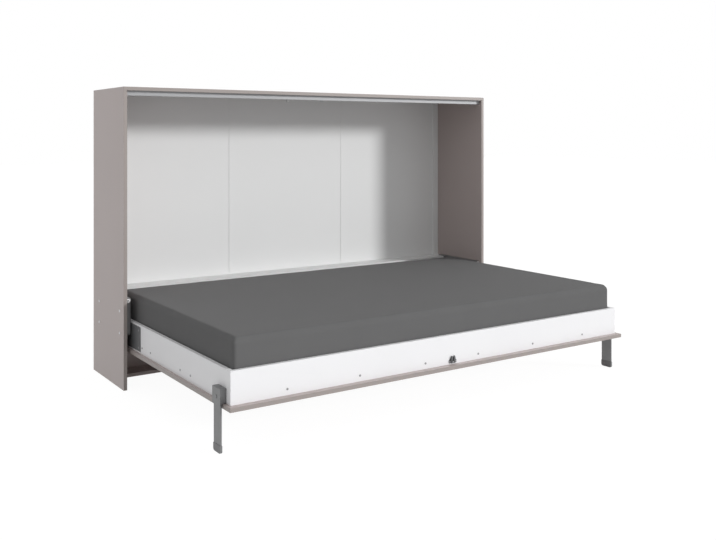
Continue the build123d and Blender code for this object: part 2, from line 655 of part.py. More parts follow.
with BuildPart() as tension_rods:
    for side in SIDES.values():
        rod_front = (side * rod_middle, HOUSING_FRONT + ROD_SETBACK, rod_z)
        rod(rod_front, (0, 1, 0), ROD_RADIUS, anchor[0] + 12 - rod_front[1])
        with BuildSketch(Plane(origin=rod_front, z_dir=(0, 1, 0))):
            RegularPolygon(ROD_SOCKET_RADIUS, 6)
        extrude(amount=ROD_SOCKET_DEPTH, mode=Mode.SUBTRACT)
finish(tension_rods, "tension_rods")

with BuildPart() as rod_bushes:
    for side in SIDES.values():
        start = (side * rod_middle, HOUSING_FRONT - 1, rod_z)
        rod(start, (0, 1, 0), ROD_BUSH_RADIUS - 0.5, 1)
        rod(start, (0, 1, 0), ROD_BUSH_RADIUS - 2, 12)
        rod(start, (0, 1, 0), ROD_RADIUS, 12, Mode.SUBTRACT)
finish(rod_bushes, "rod_bushes")

with BuildPart() as pivot_bushes:
    for side in SIDES.values():
        cross_rod(side, COVER_FACE, COVER_INSIDE, PIVOT_Y, PIVOT_Z, BUSH_OUTER)
        cross_rod(side, COVER_INSIDE, COVER_INSIDE + BUSH_FLANGE_SHEET, PIVOT_Y, PIVOT_Z, BUSH_FLANGE)
        cross_rod(side, BASE_PLATE_FACE, INNER_HALF, PIVOT_Y, PIVOT_Z, BUSH_OUTER)
        cross_rod(side, BASE_PLATE_FACE - BUSH_FLANGE_SHEET, BASE_PLATE_FACE, PIVOT_Y, PIVOT_Z, BUSH_FLANGE)
        cross_rod(side, COVER_FACE, INNER_HALF, PIVOT_Y, PIVOT_Z, SHAFT_RADIUS + RUNNING_FIT, Mode.SUBTRACT)
finish(pivot_bushes, "pivot_bushes")

with BuildPart() as hinge_bolts:
    for side in SIDES.values():
        for y in HOUSING_BOLT_FROM_FRONT:
            for z in HOUSING_BOLT_ABOVE_PIVOT:
                place = (HOUSING_FRONT + y, PIVOT_Z + z)
                cross_rod(side, BASE_PLATE_FACE, CABINET_HALF, *place, HOUSING_BOLT_RADIUS)
                cross_rod(side, CABINET_HALF, CABINET_HALF + BOLT_HEAD_HEIGHT, *place, BOLT_HEAD_RADIUS)
    fillet(hinge_bolts.edges().filter_by(GeomType.CIRCLE).group_by(Axis.X)[0], BOLT_HEAD_HEIGHT * 0.7)
    fillet(hinge_bolts.edges().filter_by(GeomType.CIRCLE).group_by(Axis.X)[-1], BOLT_HEAD_HEIGHT * 0.7)
finish(hinge_bolts, "hinge_bolts")

# Bed: base board, frame boards, battens, beam and slats
BATTEN_MIDDLE = BASE_TOP + BATTEN_HEIGHT / 2
front_screw_xs = [s * x for x in (143, 466, 788) for s in (-1, 1)]
side_screw_ys = [PIVOT_Y - y for y in (187, 287, 610, 711)]
FRONT_SCREWS = [((x, FRAME_FRONT, BATTEN_MIDDLE + 5), (0, -1, 0), LONG_SCREW) for x in front_screw_xs]
BACK_SCREWS = [((x, FRAME_BACK, BATTEN_MIDDLE + 5), (0, 1, 0), LONG_SCREW) for x in front_screw_xs]
SIDE_SCREWS = [
    ((side * FRAME_HALF, y, BATTEN_MIDDLE + 9), (side, 0, 0), LONG_SCREW)
    for side in SIDES.values()
    for y in side_screw_ys
]
PLATE_SCREWS = [
    ((side * BED_PLATE_FACE, PIVOT_Y + y, PIVOT_Z + z), (side, 0, 0), SHORT_SCREW)
    for side in SIDES.values()
    for y in (-BED_PLATE_AHEAD + 15, BED_PLATE_BEHIND - 13)
    for z in (15 - BED_PLATE_ABOVE, BED_PLATE_ABOVE - 15)
]
LEG_Y = FRAME_FRONT + LEG_BEHIND_FRAME_FRONT
BRACKET_TOP = BASE_TOP + BRACKET_TOP_ABOVE_BASE
BRACKET_SCREWS = [
    ((side * (FRAME_HALF + BRACKET_SHEET), LEG_Y + y, BASE_TOP + 22), (side, 0, 0), SHORT_SCREW)
    for side in SIDES.values()
    for y in (-22, 22)
]
CATCH_SCREWS = [
    ((x, FRAME_FRONT - CATCH_SHEET, CATCH_LOW + 6), (0, -1, 0), SHORT_SCREW)
    for x in (-CATCH_WIDTH / 2 + 5, CATCH_WIDTH / 2 - 5)
]


with BuildPart() as base_board:
    block((-BASE_HALF, BASE_FRONT, BASE_UNDERSIDE), (BASE_HALF, FRAME_BACK, BASE_TOP))
finish(base_board, "base_board")

with BuildPart() as frame_front_board:
    block((-FRAME_INNER_HALF, FRAME_FRONT, BASE_TOP), (FRAME_INNER_HALF, FRAME_FRONT + BOARD, FRAME_TOP))
    cut_screws(FRONT_SCREWS + CATCH_SCREWS)
finish(frame_front_board, "frame_front_board")

with BuildPart() as frame_back_board:
    block((-FRAME_INNER_HALF, FRAME_BACK - BOARD, BASE_TOP), (FRAME_INNER_HALF, FRAME_BACK, FRAME_TOP))
    cut_screws(BACK_SCREWS)
finish(frame_back_board, "frame_back_board")

for name, side in SIDES.items():
    with BuildPart() as frame_side_board:
        low, high = sorted((side * FRAME_INNER_HALF, side * FRAME_HALF))
        block((low, FRAME_FRONT, BASE_TOP), (high, FRAME_BACK, FRAME_TOP))
        cut_screws(on_side(side, SIDE_SCREWS + PLATE_SCREWS + BRACKET_SCREWS))
    finish(frame_side_board, f"frame_{name}_board")

frame_inner_front = FRAME_FRONT + BOARD
frame_inner_back = FRAME_BACK - BOARD
with BuildPart() as slat_battens:
    for low_y in (frame_inner_front, frame_inner_back - BATTEN_WIDTH):
        block((-FRAME_INNER_HALF, low_y, BASE_TOP), (FRAME_INNER_HALF, low_y + BATTEN_WIDTH, SLAT_UNDERSIDE))
    for side in SIDES.values():
        low, high = sorted((side * (FRAME_INNER_HALF - BATTEN_WIDTH), side * FRAME_INNER_HALF))
        block(
            (low, frame_inner_front + BATTEN_WIDTH + 1, BASE_TOP),
            (high, frame_inner_back - BATTEN_WIDTH - 1, SLAT_UNDERSIDE),
        )
    cut_screws(FRONT_SCREWS + BACK_SCREWS + SIDE_SCREWS)
finish(slat_battens, "slat_battens")

frame_middle = (FRAME_FRONT + FRAME_BACK) / 2
with BuildPart() as middle_beam:
    block(
        (-FRAME_INNER_HALF + BATTEN_WIDTH + 1, frame_middle - BEAM_WIDTH / 2, BASE_TOP),
        (FRAME_INNER_HALF - BATTEN_WIDTH - 1, frame_middle + BEAM_WIDTH / 2, SLAT_UNDERSIDE),
    )
finish(middle_beam, "middle_beam")

slat_span = 2 * (FRAME_INNER_HALF - SLAT_END_GAP) - SLAT_WIDTH
slat_length = frame_inner_back - frame_inner_front - 2 * SLAT_END_GAP
with BuildPart() as slats:
    with Locations((0, frame_middle, SLAT_UNDERSIDE + SLAT_THICKNESS / 2)):
        with GridLocations(slat_span / (SLAT_COUNT - 1), 1, SLAT_COUNT, 1):
            Box(SLAT_WIDTH, slat_length, SLAT_THICKNESS)
finish(slats, "slats")

with BuildPart() as slat_straps:
    for y in (frame_inner_front + STRAP_FROM_END, frame_inner_back - STRAP_FROM_END):
        block(
            (-slat_span / 2, y - STRAP_WIDTH / 2, SLAT_UNDERSIDE + SLAT_THICKNESS),
            (slat_span / 2, y + STRAP_WIDTH / 2, MATTRESS_UNDERSIDE),
        )
finish(slat_straps, "slat_straps")

with BuildPart() as mattress:
    with Locations((0, frame_middle, (MATTRESS_UNDERSIDE + MATTRESS_TOP) / 2)):
        Box(MATTRESS_LENGTH, MATTRESS_WIDTH, MATTRESS_THICKNESS)
    fillet(mattress.edges(), MATTRESS_EDGE)
finish(mattress, "mattress")

# Bed side of the fold hinges
for name, side in SIDES.items():
    with BuildPart() as bed_plate:
        plate_low, plate_high = PIVOT_Z - BED_PLATE_ABOVE, PIVOT_Z + BED_PLATE_ABOVE
        with BuildSketch(slice_plane(side, FRAME_HALF, BED_PLATE_FACE)):
            middle_y = PIVOT_Y + (BED_PLATE_BEHIND - BED_PLATE_AHEAD) / 2
            with Locations((middle_y, (plate_low + plate_high) / 2)):
                RectangleRounded(BED_PLATE_AHEAD + BED_PLATE_BEHIND, plate_high - plate_low, BED_PLATE_CORNER)
        extrude(amount=PLATE_SHEET)
        cut_screws(on_side(side, PLATE_SCREWS))
    finish(bed_plate, f"{name}_bed_plate")

with BuildPart() as pivot_shafts:
    for side in SIDES.values():
        cross_rod(side, BED_PLATE_FACE, INNER_HALF - 0.5, PIVOT_Y, PIVOT_Z, SHAFT_RADIUS)
finish(pivot_shafts, "pivot_shafts")

lever_length = hypot(LEVER_PIN_AHEAD, LEVER_PIN_ABOVE)
lever_turn = degrees(atan2(LEVER_PIN_ABOVE, -LEVER_PIN_AHEAD))
with BuildPart() as spring_levers:
    for side in SIDES.values():
        with BuildSketch(slice_plane(side, LEVER_FACE, LEVER_END)):
            with Locations(((PIVOT_Y + lever_pin[0]) / 2, (PIVOT_Z + lever_pin[1]) / 2)):
                SlotCenterToCenter(lever_length, 2 * LEVER_HALF_WIDTH, rotation=lever_turn)
            with Locations((PIVOT_Y, PIVOT_Z)):
                Circle(SHAFT_RADIUS + 5)
                Circle(SHAFT_RADIUS, mode=Mode.SUBTRACT)
        extrude(amount=LEVER_THICKNESS)
        cross_rod(side, LEVER_END, STUD_END, *lever_pin, LEVER_PIN_RADIUS)
        cross_rod(side, HOOK_BAR_END + 0.4, HOOK_BAR_END + 1.6, *lever_pin, LEVER_PIN_RADIUS + 2)
finish(spring_levers, "spring_levers")

# Legs, their brackets, pins and shoes
LEG_PIN_Z = BRACKET_TOP - BRACKET_SHEET - LEG_WIDTH / 2 - 1
BRACKET_OUTER = FRAME_HALF + BRACKET_REACH
LEG_FAR = BRACKET_OUTER - BRACKET_OUTER_SHEET - LEG_PLAY
LEG_NEAR = LEG_FAR - LEG_THICKNESS


def leg_outline():
    """The leg in side view: its top is round about the pin, so that the leg can swing back in its bracket."""
    with BuildSketch(mode=Mode.PRIVATE) as outline:
        with Locations((LEG_Y, (SHOE_SOLE + LEG_PIN_Z) / 2)):
            Rectangle(LEG_WIDTH, LEG_PIN_Z - SHOE_SOLE)
        fillet(outline.vertices().group_by(Axis.Y)[0], SHOE_CORNER)
        with Locations((LEG_Y, LEG_PIN_Z)):
            Circle(LEG_WIDTH / 2)
    add(outline.sketch)


for name, side in SIDES.items():
    with BuildPart() as leg_bracket:
        inner_low, inner_high = sorted((side * FRAME_HALF, side * (FRAME_HALF + BRACKET_SHEET)))
        outer_low, outer_high = sorted((side * (BRACKET_OUTER - BRACKET_OUTER_SHEET), side * BRACKET_OUTER))
        y_low, y_high = LEG_Y - BRACKET_WIDTH / 2, LEG_Y + BRACKET_WIDTH / 2
        block((inner_low, y_low, BASE_TOP + 2), (inner_high, y_high, BRACKET_TOP))
        block((outer_low, y_low, BASE_TOP - BRACKET_SKIRT), (outer_high, y_high, BRACKET_TOP))
        web_low, web_high = sorted((side * FRAME_HALF, side * BRACKET_OUTER))
        block((web_low, y_low, BRACKET_TOP - BRACKET_SHEET), (web_high, y_high, BRACKET_TOP))
        block((web_low, y_low, BASE_TOP + 2), (web_high, y_low + BRACKET_OUTER_SHEET, BRACKET_TOP))
        outer_corners = leg_bracket.edges().filter_by(Axis.Y).group_by(Axis.Z)[-1].sort_by(Axis.X)
        fillet(outer_corners[0] if side < 0 else outer_corners[-1], BRACKET_OUTER_SHEET)
        cross_rod(side, BRACKET_OUTER - 5, BRACKET_OUTER, LEG_Y, LEG_PIN_Z, LEG_PIN_RADIUS, Mode.SUBTRACT)
        cut_screws(on_side(side, BRACKET_SCREWS))
    finish(leg_bracket, f"{name}_leg_bracket")

    with BuildPart() as leg:
        with BuildSketch(slice_plane(side, LEG_NEAR, LEG_FAR)):
            leg_outline()
        extrude(amount=LEG_THICKNESS)
        cross_rod(side, LEG_NEAR, LEG_FAR, LEG_Y, LEG_PIN_Z, LEG_PIN_RADIUS + RUNNING_FIT, Mode.SUBTRACT)
    finish(leg, f"{name}_leg")

    with BuildPart() as leg_shoe:
        with BuildSketch(slice_plane(side, LEG_NEAR - SHOE_WALL, LEG_FAR + SHOE_WALL)):
            with Locations((LEG_Y, SHOE_HEIGHT / 2)):
                shoe = Rectangle(LEG_WIDTH + 2 * SHOE_WALL, SHOE_HEIGHT)
            fillet(shoe.vertices().group_by(Axis.Y)[0], SHOE_CORNER + SHOE_WALL)
        extrude(amount=LEG_THICKNESS + 2 * SHOE_WALL)
        with BuildSketch(slice_plane(side, LEG_NEAR, LEG_FAR)):
            leg_outline()
        extrude(amount=LEG_THICKNESS, mode=Mode.SUBTRACT)
    finish(leg_shoe, f"{name}_leg_shoe")

with BuildPart() as leg_pins:
    for side in SIDES.values():
        cross_rod(side, FRAME_HALF + BRACKET_SHEET, LEG_NEAR - 0.3, LEG_Y, LEG_PIN_Z, LEG_PIN_SHOULDER)
        cross_rod(side, FRAME_HALF + BRACKET_SHEET, BRACKET_OUTER + 1.5, LEG_Y, LEG_PIN_Z, LEG_PIN_RADIUS)
        cross_rod(side, BRACKET_OUTER, BRACKET_OUTER + 1.5, LEG_Y, LEG_PIN_Z, LEG_PIN_SHOULDER)
finish(leg_pins, "leg_pins")

# Catch: a plate with two sprung jaws that close on the tongue
jaw_inner = JAW_SPREAD - JAW_WIDTH / 2
jaw_outer = JAW_SPREAD + JAW_WIDTH / 2
with BuildPart() as catch_plate:
    half = CATCH_WIDTH / 2
    with BuildSketch(Plane(origin=(0, FRAME_FRONT, 0), x_dir=(1, 0, 0), z_dir=(0, -1, 0))):
        with BuildLine():
            Polyline(
                (-half, CATCH_LOW), (half, CATCH_LOW), (half, CATCH_LOW + 0.55 * CATCH_HEIGHT),
                (jaw_outer, CATCH_LOW + CATCH_HEIGHT), (-jaw_outer, CATCH_LOW + CATCH_HEIGHT),
                (-half, CATCH_LOW + 0.55 * CATCH_HEIGHT), close=True,
            )
        make_face()
    extrude(amount=CATCH_SHEET)
    floor_y = (JAW_END, FRAME_FRONT - CATCH_SHEET)
    block((-jaw_outer, floor_y[0], CATCH_LOW), (jaw_outer, floor_y[1], JAW_PIVOT_Z - JAW_TAIL - 1))
    cut_screws(CATCH_SCREWS)
    for x in (-JAW_SPREAD, JAW_SPREAD):
        rod((x, FRAME_FRONT, JAW_PIVOT_Z), (0, -1, 0), JAW_PIN_RADIUS, CATCH_SHEET, Mode.SUBTRACT)
finish(catch_plate, "catch_plate")

with BuildPart() as catch_pins:
    for x in (-JAW_SPREAD, JAW_SPREAD):
        rod((x, FRAME_FRONT, JAW_PIVOT_Z), (0, -1, 0), JAW_PIN_RADIUS, FRAME_FRONT - JAW_END + 0.2)
        rod((x, JAW_END - 0.2, JAW_PIVOT_Z), (0, -1, 0), JAW_PIN_RADIUS + 0.8, 0.4)
finish(catch_pins, "catch_pins")

for name, side in SIDES.items():
    with BuildPart() as catch_jaw:
        with BuildSketch(Plane(origin=(0, JAW_FACE, 0), x_dir=(1, 0, 0), z_dir=(0, -1, 0))):
            profile = [
                (jaw_inner, -JAW_TAIL), (jaw_inner, NOSE_UP - 4), (jaw_inner - NOSE_REACH, NOSE_UP - 2),
                (jaw_inner - NOSE_REACH, NOSE_UP + 1), (JAW_SPREAD - 1.5, JAW_TIP), (JAW_SPREAD + 1, JAW_TIP),
                (jaw_outer, NOSE_UP), (jaw_outer, -JAW_TAIL),
            ]
            with BuildLine():
                Polyline(*((side * x, JAW_PIVOT_Z + z) for x, z in profile), close=True)
            make_face()
        extrude(amount=JAW_DEPTH)
        rod(
            (side * JAW_SPREAD, JAW_FACE, JAW_PIVOT_Z), (0, -1, 0), JAW_PIN_RADIUS + RUNNING_FIT, JAW_DEPTH,
            Mode.SUBTRACT,
        )
    finish(catch_jaw, f"{name}_catch_jaw")

with BuildPart() as catch_spring:
    spring_y = (JAW_FACE + JAW_END) / 2
    spring_start = (-jaw_inner, spring_y, JAW_PIVOT_Z - JAW_TAIL + 1.6)
    rod(spring_start, (1, 0, 0), 1.5, 2 * jaw_inner)
    rod(spring_start, (1, 0, 0), 0.8, 2 * jaw_inner, Mode.SUBTRACT)
finish(catch_spring, "catch_spring")


# Screws
def screws(name, places):
    """A group of screws, each with its shank inwards from its place and its head on the outside."""
    with BuildPart() as group:
        for place, out, length in places:
            rod(place, tuple(-d for d in out), SCREW_RADIUS, length)
            rod(place, out, SCREW_HEAD_RADIUS, SCREW_HEAD_HEIGHT)
    finish(group, name)


screws("cabinet_screws", [WALL_BRACKET_SCREW] + RAIL_SCREWS + TONGUE_SCREWS + BATTEN_SCREWS)
screws("bed_screws", FRONT_SCREWS + BACK_SCREWS + SIDE_SCREWS + PLATE_SCREWS + BRACKET_SCREWS + CATCH_SCREWS)
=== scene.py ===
# %% [markdown]
# # A folding bed in its cabinet
#
# This bed tips up sideways into a shallow cabinet. Its underside board is then the cabinet's front.
# The boards, hinges and legs come measured from the CAD model, which is loaded here as a fixed frame.
# Blender's part is to give each board, plate and screw the finish of the real one, and to make the soft
# mattress, which a CAD model can only show as a block.

# %% Load the measured bed
import math

import bpy
import numpy as np
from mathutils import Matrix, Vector


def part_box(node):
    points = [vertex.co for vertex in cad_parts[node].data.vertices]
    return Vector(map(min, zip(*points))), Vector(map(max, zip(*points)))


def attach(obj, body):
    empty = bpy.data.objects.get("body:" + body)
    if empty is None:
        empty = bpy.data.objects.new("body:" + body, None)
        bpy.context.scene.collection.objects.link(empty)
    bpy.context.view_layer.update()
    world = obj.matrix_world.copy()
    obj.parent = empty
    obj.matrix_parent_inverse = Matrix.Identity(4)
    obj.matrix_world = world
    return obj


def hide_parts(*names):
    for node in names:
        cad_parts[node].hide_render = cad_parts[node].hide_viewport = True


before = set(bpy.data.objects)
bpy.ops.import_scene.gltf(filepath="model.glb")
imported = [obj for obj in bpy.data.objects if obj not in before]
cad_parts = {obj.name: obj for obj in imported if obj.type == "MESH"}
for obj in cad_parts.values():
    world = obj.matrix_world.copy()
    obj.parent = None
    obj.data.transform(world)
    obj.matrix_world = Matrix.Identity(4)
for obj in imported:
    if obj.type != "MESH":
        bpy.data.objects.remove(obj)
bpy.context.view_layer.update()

# %% [markdown]
# ## The camera
#
# The photograph shows the bed from its left, from about chest height, with upright lines kept upright.
# A camera that looks down makes uprights lean together, and one that stays level doesn't. So this one
# stays level, and the picture is moved down with the lens shift, as an architect's lens does.

# %% Camera
CAMERA_PLACE = (-2.3767, -3.5117, 1.1340)
CAMERA_TURN_TO_RIGHT = math.radians(34.0)
SENSOR_WIDTH = 36.0
LENS = 44.16
SHIFT_DOWN = 0.1891

camera = bpy.data.objects.new("camera", bpy.data.cameras.new("camera"))
camera.data.sensor_width = SENSOR_WIDTH
camera.data.lens = LENS
camera.data.shift_y = -SHIFT_DOWN
camera.location = CAMERA_PLACE
camera.rotation_euler = (math.radians(90.0), 0.0, -CAMERA_TURN_TO_RIGHT)
bpy.context.scene.collection.objects.link(camera)
bpy.context.scene.camera = camera
bpy.context.scene.view_settings.view_transform = "Standard"
print("camera to bed centre:", round((camera.location - Vector((0.0, 0.0, 0.6))).length, 2), "m")

# %% [markdown]
# ## Writing nodes as sums
#
# A finish in Blender is a net of nodes. Wiring each one by hand takes many lines, so a small class wraps
# a node's output, and adding or multiplying two of them adds the Math node for it. Anything else comes
# from one method, add(), which sets a node's own settings first and its sockets after that.

# %% Wires and nodes
class Wire:
    """The output of a node. Sums with it become Math nodes."""

    def __init__(self, nodes, socket):
        self.nodes = nodes
        self.socket = socket

    def maths(self, operation, *others):
        return self.nodes.maths(operation, self, *others)

    def __add__(self, other):
        return self.maths("ADD", other)

    __radd__ = __add__

    def __mul__(self, other):
        return self.maths("MULTIPLY", other)

    __rmul__ = __mul__

    def __sub__(self, other):
        return self.maths("SUBTRACT", other)

    def __rsub__(self, other):
        return self.nodes.maths("SUBTRACT", other, self)

    def __gt__(self, other):
        return self.maths("GREATER_THAN", other)

    def __lt__(self, other):
        return self.maths("LESS_THAN", other)


class Nodes:
    """The nodes of one finish, the floor or the room's light."""

    def __init__(self, tree):
        self.tree = tree
        tree.nodes.clear()

    def add(self, kind, settings=None, sockets=None, out=0):
        node = self.tree.nodes.new(kind)
        for name, value in (settings or {}).items():
            setattr(node, name, value)
        for name, value in (sockets or {}).items():
            if isinstance(value, Wire):
                self.tree.links.new(value.socket, node.inputs[name])
            else:
                node.inputs[name].default_value = value
        return Wire(self, node.outputs[out]) if node.outputs else None

    def maths(self, operation, *values):
        return self.add("ShaderNodeMath", {"operation": operation}, dict(enumerate(values)))

    def split(self, vector):
        """The x, y and z of a vector, from one node."""
        first = self.add("ShaderNodeSeparateXYZ", None, {0: vector})
        return [Wire(self, output) for output in first.socket.node.outputs]

    def mix(self, mask, first, second):
        """The first colour where the mask is 0, and the second where it is 1."""
        return self.add("ShaderNodeMix", {"data_type": "RGBA"}, {0: mask, 6: first, 7: second}, 2)

    def ramp(self, value, low, high):
        """0 up to low and 1 from high on, with a smooth rise between them."""
        sockets = {"Value": value, "From Min": low, "From Max": high}
        return self.add("ShaderNodeMapRange", {"interpolation_type": "SMOOTHSTEP"}, sockets)


print("wires add, multiply, subtract and compare")

# %% [markdown]
# ## The room's light
#
# The light on the bed is soft and comes from everywhere, a little more from above, as in a white studio.
# A world colour does this without any lamps. What the camera sees behind the bed is plain white. The
# Light Path node tells the two apart: rays from the camera, and rays off metal and plastic, meet white.

# %% World
SKY_LOW = 0.47
SKY_HIGH = 0.71
PLAIN_WHITE = (1.0, 1.0, 1.0, 1.0)


def seen_directly(nodes):
    """1 for rays from the camera, and for those seen in gloss or through glass."""
    path = nodes.add("ShaderNodeLightPath", out="Is Camera Ray").socket.node
    kinds = ("Is Camera Ray", "Is Glossy Ray", "Is Transmission Ray")
    looks = [Wire(nodes, path.outputs[kind]) for kind in kinds]
    return looks[0].maths("MAXIMUM", looks[1]).maths("MAXIMUM", looks[2])


world = bpy.data.worlds.new("studio")
world.use_nodes = True
bpy.context.scene.world = world
room = Nodes(world.node_tree)
upward = room.split(room.add("ShaderNodeTexCoord", out="Generated"))[2]
glow = room.ramp(upward, -0.2, 0.9) * (SKY_HIGH - SKY_LOW) + SKY_LOW
soft = room.add("ShaderNodeBackground", None, {"Color": PLAIN_WHITE, "Strength": glow})
white = room.add("ShaderNodeBackground", None, {"Color": PLAIN_WHITE, "Strength": 1.0})
sky = room.add("ShaderNodeMixShader", None, {0: seen_directly(room), 1: soft, 2: white})
room.add("ShaderNodeOutputWorld", None, {"Surface": sky})
print("sky:", SKY_LOW, "at the horizon to", SKY_HIGH, "overhead")

# %% [markdown]
# The photograph has one more light. The right end of the cabinet throws a soft shadow on its back, and
# the top throws a narrow one under itself, so a low lamp stands far off to the right. A sun lamp has
# parallel rays, which is right for a lamp far away, and its angle sets how soft the shadow's edge is.

# %% Low light from the right
LAMP_TO_RIGHT = math.radians(46.5)
LAMP_HEIGHT = math.radians(15.5)
LAMP_STRENGTH = 2.2
LAMP_SOFTNESS = math.radians(9.0)

to_lamp = Vector((
    math.sin(LAMP_TO_RIGHT) * math.cos(LAMP_HEIGHT),
    -math.cos(LAMP_TO_RIGHT) * math.cos(LAMP_HEIGHT),
    math.sin(LAMP_HEIGHT),
))
lamp = bpy.data.objects.new("window_light", bpy.data.lights.new("window_light", "SUN"))
lamp.data.energy = LAMP_STRENGTH
lamp.data.angle = LAMP_SOFTNESS
lamp.rotation_euler = to_lamp.to_track_quat("Z", "Y").to_euler()
bpy.context.scene.collection.objects.link(lamp)
print("lamp direction:", [round(part, 2) for part in to_lamp])

# %% [markdown]
# ## The floor
#
# The bed stands on a plain pale floor that can't be told from the white behind it. A grey floor would
# need more light to look white, and that would bleach the bed. So what the camera sees of the floor
# mostly glows by itself, with a little real floor mixed in, and only that part goes grey in a shadow.
# For all other rays it is a plain pale floor, which throws light up at the underside of the bed.

# %% Floor
FLOOR_HALF = 30.0
FLOOR_GLOW = 0.95
FLOOR_SHADE = 0.10
FLOOR_PALE = 0.8


def new_material(name):
    material = bpy.data.materials.new(name)
    material.use_nodes = True
    return material, Nodes(material.node_tree)


def grey(value):
    return (value, value, value, 1.0)


floor_material, floor_nodes = new_material("pale_floor")
seen = floor_nodes.add("ShaderNodeEmission", None, {"Color": PLAIN_WHITE, "Strength": FLOOR_GLOW})
shaded = floor_nodes.add("ShaderNodeBsdfDiffuse", None, {"Color": grey(FLOOR_SHADE)})
shown = floor_nodes.add("ShaderNodeAddShader", None, {0: seen, 1: shaded})
plain = floor_nodes.add("ShaderNodeBsdfDiffuse", None, {"Color": grey(FLOOR_PALE)})
straight = seen_directly(floor_nodes)
floor_skin = floor_nodes.add("ShaderNodeMixShader", None, {0: straight, 1: plain, 2: shown})
floor_nodes.add("ShaderNodeOutputMaterial", None, {"Surface": floor_skin})

corners = [(-1, -1), (1, -1), (1, 1), (-1, 1)]
floor_mesh = bpy.data.meshes.new("floor")
floor_mesh.from_pydata([(x * FLOOR_HALF, y * FLOOR_HALF, 0.0) for x, y in corners], [], [(0, 1, 2, 3)])
floor_mesh.materials.append(floor_material)
floor = bpy.data.objects.new("floor", floor_mesh)
bpy.context.scene.collection.objects.link(floor)
print("floor:", 2 * FLOOR_HALF, "m wide")

# %% [markdown]
# ## Helpers for finishes
#
# Every finish starts from a point's place on the piece, in metres. Noise of a chosen size in metres then
# has the scale of the real thing, such as grain 4 mm wide or a pearl skin under 1 mm. A picture of the
# wood would do too, but it would need unwrapping and a file, and it would repeat.

# %% Place, noise and the shader
def on_piece(nodes):
    """Where a point is on the piece, in metres. It stays with the piece when that moves."""
    return nodes.add("ShaderNodeTexCoord", out="Object")


def noise(nodes, place, size, stretch=(1.0, 1.0, 1.0), detail=2.0):
    """Soft random values about 0.5, in spots about this many metres across, drawn out by stretch."""
    scale = tuple(1.0 / (size * part) for part in stretch)
    scaled = nodes.add("ShaderNodeMapping", None, {"Vector": place, "Scale": scale})
    return nodes.add("ShaderNodeTexNoise", None, {"Vector": scaled, "Scale": 1.0, "Detail": detail})


def colour(red, green, blue, times=1.0):
    return (red * times, green * times, blue * times, 1.0)


def shades(nodes, value, base, spread):
    """The base colour, darker where the value is 0 and lighter where it is 1."""
    return nodes.mix(value, colour(*base, 1.0 - spread), colour(*base, 1.0 + spread))


def relief(nodes, height, depth, edge=0.0):
    """A bump this many metres deep. An edge radius also lets the piece's sharp edges catch light."""
    sockets = {"Height": height, "Distance": depth}
    if edge:
        sockets["Normal"] = nodes.add("ShaderNodeBevel", {"samples": 4}, {"Radius": edge})
    return nodes.add("ShaderNodeBump", None, sockets)


def skin(nodes, **sockets):
    """The shader itself. Underscores in the names stand for spaces."""
    named = {name.replace("_", " "): value for name, value in sockets.items()}
    shader = nodes.add("ShaderNodeBsdfPrincipled", None, named)
    nodes.add("ShaderNodeOutputMaterial", None, {"Surface": shader})


print("finish helpers ready")

# %% [markdown]
# ## Foil on chipboard
#
# The cabinet and the bed's base are chipboard under a matt taupe foil, and the bed's frame under a white
# one. The foil has a fine pearl skin that one feels more than sees. The edges that show have a band of a
# darker taupe. Where neither is needed, on the edges that face the wall or stand on the floor, the bare
# chips show. One function makes all the foils. It decides by place which edges have the band and which
# are bare, so no board needs a second material.

# %% Bare chipboard
WALL_SIDE = 0.7195
FLOOR_SIDE = 0.0005
CHIP_LIGHT = colour(0.56, 0.42, 0.26)
CHIP_DARK = colour(0.33, 0.22, 0.12)


def chips(nodes, place):
    fleck = nodes.ramp(noise(nodes, place, 0.0025, (1.6, 1.6, 0.7), 4.0), 0.40, 0.62)
    return nodes.mix(fleck, CHIP_DARK, CHIP_LIGHT), fleck


# %% Foil
FOIL_PEARL = 0.0008
FOIL_CLOUD = 0.22
BAND_RADIUS = 0.0007
EDGE_BAND = (0.310, 0.274, 0.258)
SKIN_DEEP = 0.0004
NOWHERE = 9.0


def foil(name, base, roughness, band_front=-NOWHERE, band_end=NOWHERE):
    """Foil on chipboard, with an edge band in front of one place and beyond another to both ends."""
    material, nodes = new_material(name)
    place = on_piece(nodes)
    x, y, z = nodes.split(place)
    pearl = noise(nodes, place, FOIL_PEARL)
    cloud = noise(nodes, place, FOIL_CLOUD)
    foiled = shades(nodes, pearl * 0.6 + cloud * 0.4, base, 0.06)
    banded = (y < band_front + SKIN_DEEP).maths("MAXIMUM", x.maths("ABSOLUTE") > band_end - SKIN_DEEP)
    bare_edge = (y > WALL_SIDE).maths("MAXIMUM", z < FLOOR_SIDE)
    chip_colour, fleck = chips(nodes, place)
    skin(
        nodes,
        Base_Color=nodes.mix(bare_edge, nodes.mix(banded, foiled, colour(*EDGE_BAND)), chip_colour),
        Roughness=pearl * 0.16 + bare_edge * 0.3 + (roughness - 0.08),
        Normal=relief(nodes, pearl + fleck * bare_edge * 3.0, 0.00006, BAND_RADIUS),
    )
    return material


TAUPE = (0.426, 0.364, 0.351)
WHITE = (0.808, 0.808, 0.822)
cabinet_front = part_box("left_side_panel")[0].y
base_low, base_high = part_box("base_board")
taupe_foil = foil("taupe_foil", TAUPE, 0.39, cabinet_front)
base_foil = foil("base_foil", TAUPE, 0.39, base_low.y, base_high.x)
white_foil = foil("white_foil", WHITE, 0.46)
print("taupe", TAUPE, "white", WHITE)

# %% [markdown]
# ## The light grey back
#
# The back of the cabinet is thin hardboard, printed light grey on the side that shows and left as brown
# pressed fibre on the side to the wall. The shelf behind the mattress and the corner battens have the same
# light grey on chipboard, so the same function makes both, with or without the brown side.

